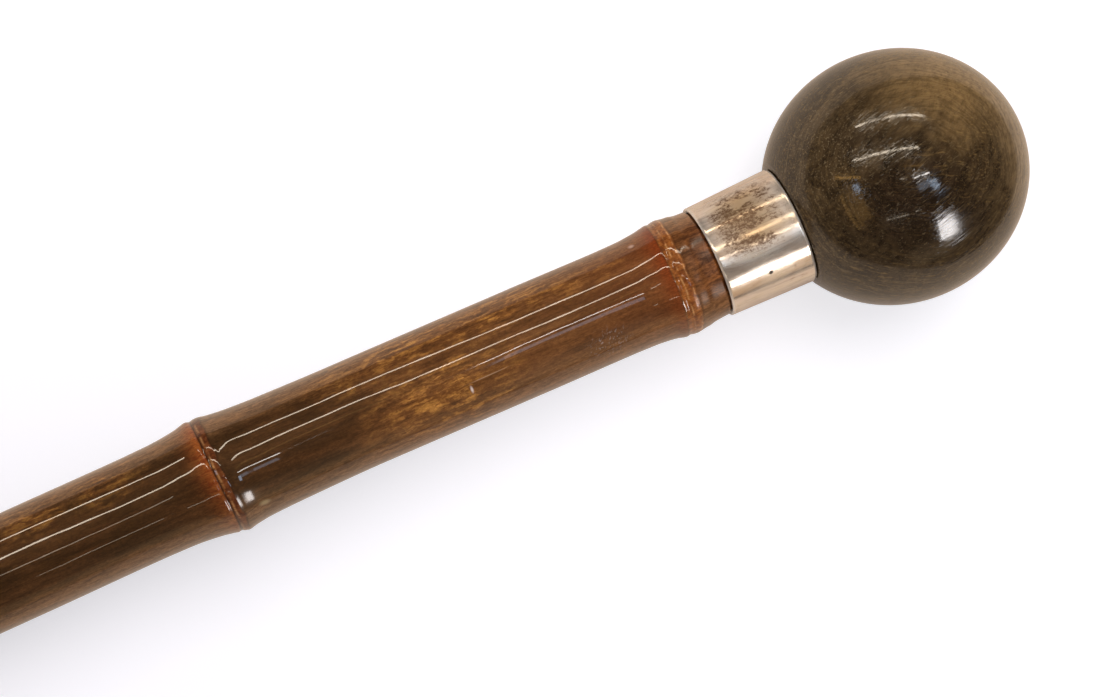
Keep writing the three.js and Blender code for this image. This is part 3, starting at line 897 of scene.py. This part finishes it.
def horn_grain(g, place, bent, combed, tone):
    """Growth layers cut by the ball, which are fine contours round its rim, and golden fibres."""
    eased = g.warped(place, 0.08, 2.0)
    rim = g.band(g.axis(place, "Z"), *HORN_RIM_UP, 1.0, 0.0)
    layers = g.noise(g.stretch(eased, (0.1, 0.1, 1.2)), 1.5, detail=5, roughness=0.7)
    lines = g.times(g.band(layers, 0.5, 0.68), rim)
    tone = g.mix(g.times(lines, 0.35), tone, HORN_LAYER)
    golden_share = g.plus(g.times(g.most(rim, g.patch(bent, *HORN_GOLDEN_SIDE)), 0.4), 0.08)
    fibres = g.noise(g.turned(eased, 11.0, -0.45), 2.1, detail=4, roughness=0.7)
    tone = g.mix(g.times(g.band(fibres, 0.52, 0.68), golden_share), tone, HORN_GOLD)
    grain = g.noise(g.turned(place, 5.0, 0.6), 1.1, detail=5, roughness=0.7)
    tone = g.shaded(0.6, tone, g.band(grain, 0.35, 0.62, 0.55, 1.25))
    rings = g.noise(g.stretch(eased, (0.1, 0.1, 2.2)), 1.8, detail=4, roughness=0.65)
    tone = g.shaded(1.0, tone, g.band(rings, 0.36, 0.64, 0.8, 1.22))
    dusty = g.plus(g.times(g.patch(place, *HORN_DUSTY_SIDE), 0.6), 0.1)
    speckles = g.times(g.band(g.noise(place, 2.6, detail=2), 0.58, 0.7), dusty)
    tone = g.mix(speckles, tone, HORN_DUST)
    # Painted glints: light lines along the fine scratches
    scratch_glints = g.noise(g.turned(combed, 20.0, 0.23), 4.2, detail=2, roughness=0.6)
    return g.mix(g.band(scratch_glints, 0.58, 0.7, 0.0, 0.38), tone, HORN_PAINTED_SCRATCH_GLINT)


def horn_surface(g, place, combed, pits):
    """Fine scratches, nearly parallel, that comb the reflections, and small pits."""
    scratches = g.noise(g.turned(combed, 26.0, 0.23), 2.2, detail=1, roughness=0.5)
    hair_lines = g.noise(g.turned(combed, 30.0, 0.23), 5.5, detail=1, roughness=0.5)
    crossing = g.noise(g.turned(place, 22.0, -0.6), 3.4, detail=3, roughness=0.7)
    worn = g.bump(g.band(scratches, 0.5, 0.6), 0.006)
    worn = g.bump(g.band(hair_lines, 0.5, 0.6), 0.003, normal=worn)
    worn = g.bump(g.band(crossing, 0.62, 0.78), 0.002, normal=worn)
    return g.bump(pits, 0.15, strength=-0.6, normal=worn)


def horn_material():
    g = material_graph("horn")
    place = g.stick_mm()
    bent = g.warped(place, 0.12, 7.0)
    combed = g.warped(place, 0.1, 1.0)
    tan_above = g.patch(bent, *HORN_TAN_ABOVE)
    tan_end = g.patch(bent, *HORN_TAN_END)
    pits = g.band(g.spots(g.turned(place, 1.8, 1.2), 0.7), 0.03, 0.16, 1.0, 0.0)
    pits = g.times(pits, g.most(tan_end, g.times(tan_above, 0.7)))
    tone = horn_grain(g, place, bent, combed, horn_clouds(g, bent, tan_above, tan_end))
    polish = g.band(g.noise(place, 0.35, detail=5), 0.3, 0.7, 0.03, 0.06)
    g.principled(
        Base_Color=g.mix(g.times(pits, 0.75), tone, HORN_PIT),
        Roughness=g.plus(polish, g.times(g.patch(place, *HORN_HANDLED), 0.1)),
        IOR=1.52,
        Normal=horn_surface(g, place, combed, pits),
    )
    return g.owner


def bamboo_body(g, place, blot, feathers, stub):
    """Warm brown by the handle, dark beyond, with a painted sheen at both sides, and golden mottling in
    patches.
    """
    along = g.axis(blot, "X")
    across = g.axis(place, "Y")
    cloud = g.noise(g.stretch(place, (0.2, 1, 1)), 0.22, detail=4, roughness=0.55)
    cloudy = g.band(cloud, 0.36, 0.64)
    dark_body = g.mix(cloudy, BAMBOO_DARK, BAMBOO_BROWN)
    warm_body = g.mix(cloudy, BAMBOO_WARM, BAMBOO_TAWNY)
    body = g.mix(g.band(along, *WARM_ALONG), dark_body, warm_body)
    stub_streaks = g.mix(g.band(feathers, 0.36, 0.64), BAMBOO_STUB, BAMBOO_STUB_LIGHT)
    body = g.mix(g.times(stub, 0.85), body, stub_streaks)
    # Painted sheen: paler bands along both edges of the shaft, broken up by the grain
    upper_sheen = g.band(across, *UPPER_SHEEN_ACROSS, 0.0, 0.75)
    lower_sheen = g.band(across, *LOWER_SHEEN_ACROSS, 0.0, 0.6)
    rim = g.times(g.most(upper_sheen, lower_sheen), g.band(feathers, 0.3, 0.6, 0.6, 1.0))
    body = g.mix(rim, body, BAMBOO_PAINTED_SHEEN)

    blotches = g.noise(g.stretch(blot, (0.3, 1, 1)), 0.55, detail=3, roughness=0.55)
    grown = g.plus(g.times(feathers, 0.75), g.times(blotches, 0.25))
    body = g.shaded(0.8, body, g.band(grown, 0.38, 0.62, 0.74, 1.26))
    patchy = g.ramp(grown, (0.38, BAMBOO_SHADE), (0.5, BAMBOO_AMBER), (0.62, BAMBOO_GOLD))
    spread = g.most(
        g.patch(blot, *GOLD_UPPER),
        g.patch(blot, *GOLD_BELLY),
        g.times(g.most(g.patch(blot, *GOLD_FAR), g.patch(blot, *GOLD_END)), 0.7),
        g.times(g.band(along, *MOTTLED_ALONG), g.band(cloud, 0.5, 0.65)),
    )
    mottling = g.times(spread, g.band(blotches, 0.36, 0.52, 0.55, 1.0))
    return g.mix(g.times(mottling, 0.85), body, patchy)


def bamboo_nodes(g, place, blot, feathers, body):
    """A node is bright towards the tip, with dark scar grooves beside a smooth ridge."""
    first = g.band(g.axis(blot, "X"), *FIRST_NODE_ALONG)
    bright = g.mix(g.band(feathers, 0.35, 0.62), NODE_RED, NODE_AMBER)
    bright = g.mix(first, bright, FIRST_NODE_RED)
    glow = g.band(g.axis(place, "Y"), *NODE_GLOW_ACROSS, 0.5, 1.0)
    skin = g.mix(g.times(g.mark("amber"), glow), body, bright)
    smooth = g.band(g.noise(place, 0.9, detail=3, roughness=0.5), 0.36, 0.64)
    far_ridge = g.mix(smooth, RIDGE_DARK, RIDGE_LIGHT)
    near_ridge = g.mix(smooth, FIRST_RIDGE_DARK, FIRST_RIDGE_LIGHT)
    skin = g.mix(g.mark("ridge"), skin, g.mix(first, far_ridge, near_ridge))
    # Painted glints along the crest lines, broken up
    broken_glint = g.band(g.noise(place, 0.6), 0.4, 0.6)
    skin = g.mix(g.times(g.mark("crest"), broken_glint), skin, PAINTED_CREST_GLINT)
    return g.mix(g.mark("groove"), skin, GROOVE_DARK)


def bamboo_wear(g, place, skin):
    """Hairs and pores of the bamboo, then scuffs and small marks."""
    hairs = g.noise(g.stretch(place, (0.03, 1, 1)), 4.5, detail=3, roughness=0.6)
    pores = g.noise(g.stretch(place, (0.5, 1, 1)), 3.4, detail=3, roughness=0.7)
    skin = g.shaded(0.8, skin, g.band(hairs, 0.34, 0.62, 0.8, 1.12))
    skin = g.shaded(0.8, skin, g.band(pores, 0.34, 0.66, 0.76, 1.24))
    scuffs = g.band(g.noise(g.turned(place, 3.0, 1.1), 2.2, detail=4, roughness=0.7), 0.54, 0.66)
    skin = g.mix(g.times(g.times(scuffs, g.patch(place, *SCUFFED)), 0.5), skin, SCUFF)
    for centre, reach, colour, strength in SKIN_MARKS:
        skin = g.mix(g.times(g.patch(place, centre, reach), strength), skin, colour)
    return skin


def lacquer_surface(g, place):
    """Soft waves and swells, a dent beside each far node and a few chips."""
    flow = g.noise(g.stretch(place, (0.2, 1, 1)), 0.22, detail=3)
    surface = g.bump(flow, 0.12, strength=0.3)
    for centre, reach, height in LACQUER_SWELLS:
        surface = g.bump(g.patch(place, centre, reach), height, normal=surface)
    surface = g.bump(g.mark("dent"), -0.12, normal=surface)
    chips = g.band(g.spots(g.stretch(place, (0.35, 1, 1)), 0.5), 0.02, 0.09, 1.0, 0.0)
    return g.bump(chips, 0.05, strength=-0.5, normal=surface)


def bamboo_material():
    g = material_graph("lacquered_bamboo")
    place = g.stick_mm()
    blot = g.warped(place, 0.22, 5.0)
    grain = g.stretch(g.warped(place, 0.5, 0.6), (0.14, 1, 1))
    feathers = g.noise(grain, 1.25, detail=6, roughness=0.62, distortion=0.3)
    stub = g.patch(place, *CULM_STUB)
    skin = bamboo_body(g, place, blot, feathers, stub)
    skin = bamboo_nodes(g, place, blot, feathers, skin)
    worn = g.patch(place, *WORN_BY_COLLAR)
    g.principled(
        Base_Color=bamboo_wear(g, place, skin),
        Roughness=0.34,
        IOR=1.45,
        Specular_IOR_Level=0.1,
        Specular_Tint=LACQUER_TINT,
        Normal=g.bump(feathers, 0.05, strength=0.35),
        Coat_Weight=g.band(worn, 0.0, 0.7, 1.0, 0.18),
        Coat_Roughness=g.most(
            g.times(stub, 0.34),
            g.times(g.patch(place, *DULLED), 0.17),
            g.band(worn, 0.0, 0.7, 0.03, 0.26),
        ),
        Coat_IOR=1.45,
        Coat_Normal=lacquer_surface(g, place),
    )
    return g.owner


def silver_colour(g, place, cloud, lines, stain):
    """Warm silver, golden and brown where it is tarnished, with a painted bright glint at its rims."""
    silver = g.mix(g.band(cloud, 0.35, 0.65), SILVER_GREY, SILVER_PALE)
    silver = g.mix(g.band(cloud, 0.5, 0.68, 0.0, 0.3), silver, SILVER_YELLOW)
    silver = g.mix(g.times(g.mark("tarnish"), 0.8, clamp=True), silver, SILVER_GOLDEN)
    silver = g.shaded(0.6, silver, g.band(lines, 0.34, 0.5, 0.72, 1.04))
    freckles = g.band(g.noise(place, 0.9, detail=5, roughness=0.72), 0.58, 0.72, 0.0, 0.5)
    silver = g.mix(freckles, silver, SILVER_FRECKLE)
    silver = g.mix(g.times(stain, 0.9), silver, SILVER_STAIN)
    # Painted glint along both rims
    return g.mix(g.mark("rim"), silver, SILVER_PAINTED_RIM_GLINT)


def silver_material():
    g = material_graph("aged_silver")
    place = g.stick_mm()
    cloud = g.noise(g.stretch(place, (0.5, 1, 1)), 0.3, detail=5, roughness=0.6)
    fine = g.noise(g.stretch(place, (0.75, 1, 1)), 1.9, detail=6, roughness=0.8)
    lines = g.noise(g.stretch(place, (0.05, 1, 1)), 3.0, detail=3)
    clusters = g.noise(g.stretch(place, (0.4, 1, 1)), 0.36, detail=3, roughness=0.55)
    amount = g.times(g.band(clusters, 0.36, 0.52), g.mark("tarnish"), clamp=True)
    spread = g.plus(fine, g.times(amount, 0.13))
    stain = g.times(g.band(spread, 0.52, 0.65), g.band(amount, 0.0, 0.6))
    bare = g.band(g.mark("tarnish"), 0.0, 0.5, 0.78, 0.3)
    rubbed = g.bump(lines, 0.012, strength=0.35)
    g.principled(
        Base_Color=silver_colour(g, place, cloud, lines, stain),
        # the painted rim glint is also less metallic, so that its pale colour shows
        Metallic=g.maths("SUBTRACT", bare, g.times(g.mark("rim"), 0.3), clamp=True),
        Roughness=g.plus(g.band(cloud, 0.3, 0.7, 0.15, 0.22), g.times(stain, 0.2)),
        Normal=g.bump(fine, 0.002, strength=0.3, normal=rubbed),
    )
    return g.owner


def metal_material(name, light, dark, roughness):
    g = material_graph(name)
    place = g.stick_mm()
    cloud = g.noise(place, 0.5, detail=6, roughness=0.65)
    rings = g.noise(g.stretch(place, (1, 0.05, 0.05)), 3.2, detail=3)
    g.principled(
        Base_Color=g.mix(g.band(cloud, 0.35, 0.65), dark, light),
        Metallic=1.0,
        Roughness=g.band(cloud, 0.3, 0.7, roughness + METAL_DULLING, roughness),
        Normal=g.bump(rings, 0.02, strength=0.4),
    )
    return g.owner


def hardwood_material():
    g = material_graph("plug_hardwood")
    grain = g.noise(g.stretch(g.stick_mm(), (0.06, 1, 1)), 2.2, detail=5, distortion=0.4)
    g.principled(
        Base_Color=g.ramp(grain, (0.35, WOOD_DARK), (0.65, WOOD_LIGHT)),
        Roughness=g.band(grain, 0.3, 0.7, 0.55, 0.75),
        Normal=g.bump(grain, 0.05, strength=0.5),
    )
    return g.owner


# The camera's axes, with the stick's own direction and the direction across it
view_forward = Vector((math.sin(VIEW_TILT), 0, -math.cos(VIEW_TILT)))
view_along = Vector((math.cos(VIEW_TILT), 0, math.sin(VIEW_TILT)))
view_across = Vector((0, 1, 0))
view_right = view_along * math.cos(STICK_ANGLE) - view_across * math.sin(STICK_ANGLE)
view_up = view_along * math.sin(STICK_ANGLE) + view_across * math.cos(STICK_ANGLE)


def columns(x_axis, y_axis, z_axis):
    return Matrix((x_axis, y_axis, z_axis)).transposed().to_4x4()


def make_camera():
    px = MM_PER_PX * MM
    right_px = BALL_CENTRE_PX[0] - PHOTO_SIZE_PX[0] / 2
    up_px = PHOTO_SIZE_PX[1] / 2 - BALL_CENTRE_PX[1]
    place = ball_centre - view_forward * (FOCAL_LENGTH_PX * px)
    place -= view_right * (right_px * px) + view_up * (up_px * px)
    data = bpy.data.cameras.new("camera")
    data.sensor_width = SENSOR_WIDTH
    data.lens = SENSOR_WIDTH * FOCAL_LENGTH_PX / PHOTO_SIZE_PX[0]
    camera = add_object("camera", data)
    camera.matrix_world = Matrix.Translation(place) @ columns(view_right, view_up, -view_forward)
    bpy.context.scene.camera = camera


def make_lamp(name, start, end, width, radiance, colour, distance=LAMP_DISTANCE):
    corners = []
    for along_share, across_share in (start, end):
        toward = view_along * along_share + view_across * across_share - view_forward
        corners.append(ball_centre + toward.normalized() * distance)
    middle = (corners[0] + corners[1]) / 2
    along = (corners[1] - corners[0]).normalized()
    side = (middle - ball_centre).normalized().cross(along).normalized()
    facing = along.cross(side)
    data = bpy.data.lights.new(name, "AREA")
    data.shape = "RECTANGLE"
    data.size = (corners[1] - corners[0]).length
    data.size_y = width * distance
    data.energy = radiance * math.pi * data.size * data.size_y
    data.color = colour
    lamp = add_object(name, data)
    lamp.matrix_world = Matrix.Translation(middle) @ columns(along, side, facing)
    lamp.visible_camera = False
    return lamp


def make_lamps():
    """One soft lamp lights the stick, and the others show in gloss alone."""
    key = make_lamp(*KEY_LAMP, KEY_DISTANCE)
    key.visible_glossy = False
    for row in GLOSS_LAMPS:
        lamp = make_lamp(*row)
        lamp.visible_diffuse = False


def make_floor():
    """The white table: it shows white to the eye and in gloss, and keeps the stick's shadow."""
    g = material_graph("white_table")
    place = g.texture_place("Object")
    path = g.path()
    mirrored = g.most(path["Is Glossy Ray"], path["Is Transmission Ray"])
    sheet = g.mix(g.noise(place, 40, detail=3), *TABLE_PAPER)
    g.principled(Base_Color=g.mix(mirrored, sheet, TABLE_IN_GLOSS), Roughness=0.9, Specular_IOR_Level=0.0)
    lift_here = g.band(g.axis(place, "X"), LIFT_FROM_X * MM, LIFT_TO_X * MM, *TABLE_LIFT)
    lift = g.times(path["Is Camera Ray"], lift_here)
    lift = g.plus(lift, g.times(mirrored, TABLE_LIFT_IN_GLOSS))
    glow = g.add("ShaderNodeEmission", {"Strength": lift})
    paper = g.tree.nodes["Principled BSDF"]
    lit = g.add("ShaderNodeAddShader", {0: paper.outputs[0], 1: glow.outputs[0]})

    # Past its edge to the right of the ball, gloss shows the dark room instead
    to_right = g.add("ShaderNodeVectorMath", {0: place, 1: tuple(view_right)}, operation="DOT_PRODUCT")
    edge = ball_centre.dot(view_right) + TABLE_EDGE_FROM_BALL * MM
    beyond = g.band(to_right.outputs["Value"], edge, edge + TABLE_EDGE_BLUR * MM)
    past = g.times(beyond, path["Is Glossy Ray"])
    room = g.add("ShaderNodeEmission", {"Color": (*ROOM_COLOUR, 1), "Strength": PAST_TABLE_IN_GLOSS})
    both = g.blend(past, lit, room)
    g.feed(g.tree.nodes["Material Output"].inputs["Surface"], both.outputs[0])

    half = TABLE_HALF * MM
    mesh = bpy.data.meshes.new("table_top")
    corners = [(-half, -half, 0), (half, -half, 0), (half, half, 0), (-half, half, 0)]
    mesh.from_pydata(corners, [], [(0, 1, 2, 3)])
    mesh.materials.append(g.owner)
    add_object("table_top", mesh)


def make_world():
    """Even light on everything, and in gloss a dim warm room with one bright side."""
    world = bpy.data.worlds.new("studio")
    bpy.context.scene.world = world
    g = Graph(world)
    path = g.path()
    light = g.tree.nodes["Background"]
    g.feed(light.inputs["Color"], (*WORLD_COLOUR, 1))
    g.feed(light.inputs["Strength"], WORLD_LIGHT)
    direction = g.texture_place("Generated")
    toward = g.add("ShaderNodeVectorMath", {0: direction, 1: BRIGHT_SIDE}, operation="DOT_PRODUCT")
    brightness = g.band(
        toward.outputs["Value"], BRIGHT_SIDE_FROM, 1.0, ROOM_IN_GLOSS, BRIGHT_SIDE_IN_GLOSS
    )
    room = g.add("ShaderNodeBackground", {"Color": (*ROOM_COLOUR, 1), "Strength": brightness})
    white = g.add("ShaderNodeBackground", {"Color": (1, 1, 1, 1)})
    in_gloss = g.blend(path["Is Glossy Ray"], light, room)
    seen = g.blend(path["Is Camera Ray"], in_gloss, white)
    g.feed(g.tree.nodes["World Output"].inputs["Surface"], seen.outputs[0])


bpy.context.scene.view_settings.view_transform = "Standard"
make_camera()
make_floor()
make_world()
make_lamps()

brass = metal_material("aged_brass", *BRASS)
steel = metal_material("dull_steel", *STEEL)
hardwood = hardwood_material()
make_ball(horn_material())
make_collar(silver_material())
make_culm(bamboo_material())
make_ferrule(brass)
make_tip(steel)
make_collar_pin(metal_material("blackened_steel", *BLACKENED_STEEL))
make_ferrule_pin(brass)

# These stay the solids' own, because nothing shows of them
for node_name, material in (("handle_stud", steel), ("top_plug", hardwood), ("tip_plug", hardwood)):
    node = frame["nodes"][node_name]
    node.data.materials.clear()
    node.data.materials.append(material)
